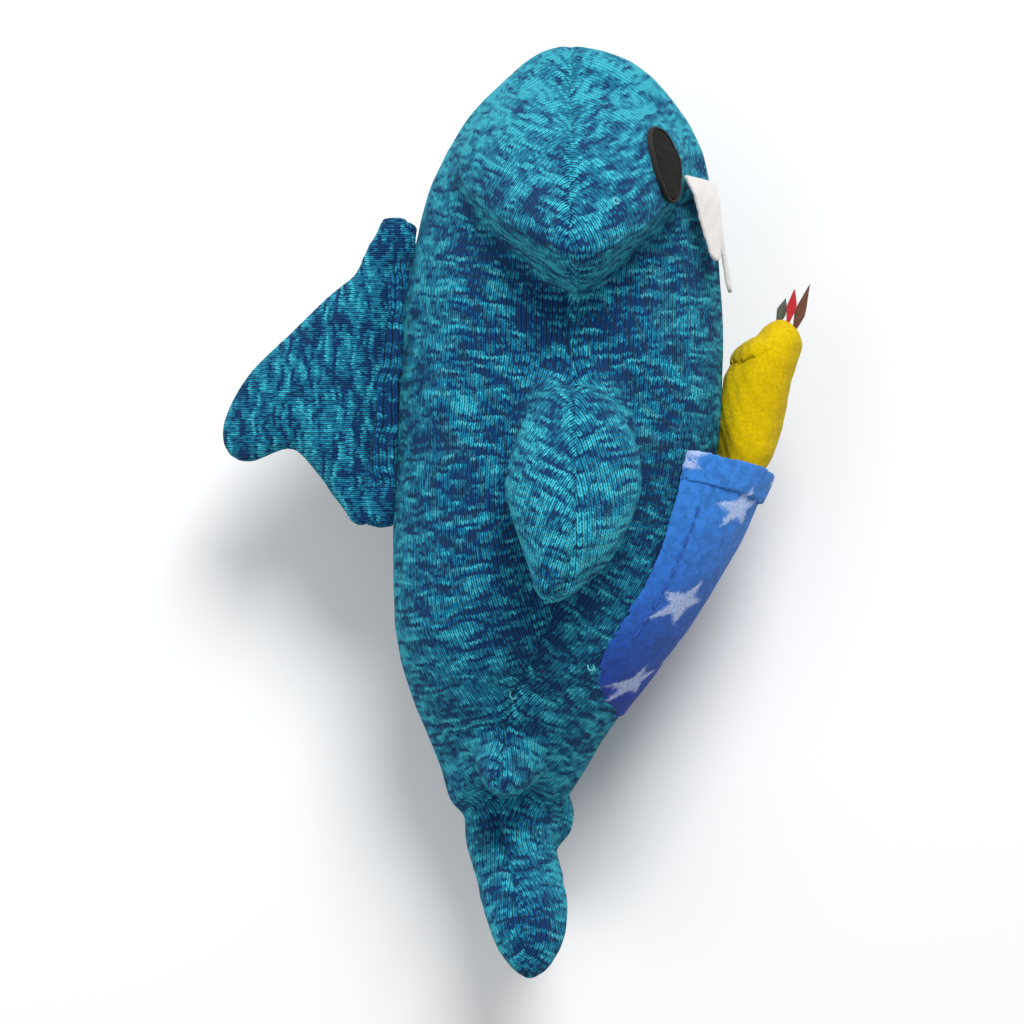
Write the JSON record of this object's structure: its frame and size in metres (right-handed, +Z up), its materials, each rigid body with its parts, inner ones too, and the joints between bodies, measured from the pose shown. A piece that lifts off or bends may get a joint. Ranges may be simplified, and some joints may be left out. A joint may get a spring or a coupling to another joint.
{
  "type": "plush shark",
  "caption": "Stuffed hammerhead shark with floppy fins and tail, felt teeth, and a fleece belly pocket holding a small plush toy.",
  "frame": {"origin": "centre of the bounding box's footprint, on the floor", "axes": "+Y towards the head, +X towards the belly, +Z up through the right side; the shark lies on its left side"},
  "size_m": [0.2373, 0.3694, 0.162],
  "materials": {
    "knit_cover": "teal and navy space-dyed sweater knit",
    "stuffing": "white polyester fibre filling",
    "eye_felt": "black felt",
    "eye_thread": "black satin stitch",
    "white_felt": "white felt",
    "pocket_fleece": "blue fleece with pale stars",
    "pocket_thread": "blue sewing thread",
    "toy_fleece": "yellow fleece",
    "red_felt": "red felt",
    "brown_felt": "brown felt",
    "green_felt": "grey-green felt"
  },
  "bodies": {
    "shark": {"torso_back_panel": "knit_cover", "torso_belly_panel": "knit_cover", "torso_stuffing": "stuffing", "right_eye": "eye_felt", "left_eye": "eye_felt", "eye_stitches": "eye_thread", "pocket_panel": "pocket_fleece", "pocket_hem": "pocket_fleece", "pocket_stitches": "pocket_thread"},
    "right_pectoral_fin": {"right_pectoral_back_panel": "knit_cover", "right_pectoral_front_panel": "knit_cover", "right_pectoral_stuffing": "stuffing"},
    "left_pectoral_fin": {"left_pectoral_back_panel": "knit_cover", "left_pectoral_front_panel": "knit_cover", "left_pectoral_stuffing": "stuffing"},
    "dorsal_fin": {"dorsal_fin_right_panel": "knit_cover", "dorsal_fin_left_panel": "knit_cover", "dorsal_fin_stuffing": "stuffing", "dorsal_fin_seam_roll": "knit_cover"},
    "tail": {"tail_back_panel": "knit_cover", "tail_belly_panel": "knit_cover", "tail_stuffing": "stuffing"},
    "right_fang": {"right_tooth": "white_felt"},
    "left_fang": {"left_tooth": "white_felt"},
    "pocket_toy": {"toy_cover": "toy_fleece", "toy_stuffing": "stuffing", "toy_fold": "toy_fleece", "toy_red_tip": "red_felt", "toy_brown_tip": "brown_felt", "toy_green_tip": "green_felt"}
  },
  "joints": [
    {"name": "right_pectoral_swing", "type": "hinge", "parent": "shark", "child": "right_pectoral_fin", "pos_m": [0.02391, 0.016, 0.12287], "axis": [0, 1, 0], "range_deg": [-14, 14], "stiffness_Nm_per_rad": 0.03},
    {"name": "left_pectoral_swing", "type": "hinge", "parent": "shark", "child": "left_pectoral_fin", "pos_m": [0.02391, 0.016, 0.0212], "axis": [0, 1, 0], "range_deg": [-10, 10], "stiffness_Nm_per_rad": 0.08},
    {"name": "dorsal_fin_flop", "type": "hinge", "parent": "shark", "child": "dorsal_fin", "pos_m": [-0.04651, 0.1143, 0.072], "axis": [0.0616, 0.9981, 0], "range_deg": [-30, 30], "stiffness_Nm_per_rad": 0.05},
    {"name": "tail_bend", "type": "hinge", "parent": "shark", "child": "tail", "pos_m": [-0.00128, -0.1275, 0.052], "axis": [0, 0, 1], "range_deg": [-18, 18], "stiffness_Nm_per_rad": 0.03},
    {"name": "left_tooth_flap", "type": "hinge", "parent": "shark", "child": "left_fang", "pos_m": [0.07877, 0.1275, 0.07689], "axis": [-0.0872, 0, 0.9962], "range_deg": [0, 30], "stiffness_Nm_per_rad": 0.003},
    {"name": "right_tooth_flap", "type": "hinge", "parent": "shark", "child": "right_fang", "pos_m": [0.07777, 0.1285, 0.09419], "axis": [-0.3746, 0, 0.9272], "range_deg": [0, 30], "stiffness_Nm_per_rad": 0.003},
    {"name": "toy_slide", "type": "slide", "parent": "shark", "child": "pocket_toy", "axis": [0.4, 0.9165, 0], "range_m": [0, 0.06]}
  ],
  "couplings": [
    {"joint": "right_tooth_flap", "follows": "left_tooth_flap", "ratio": 1}
  ]
}
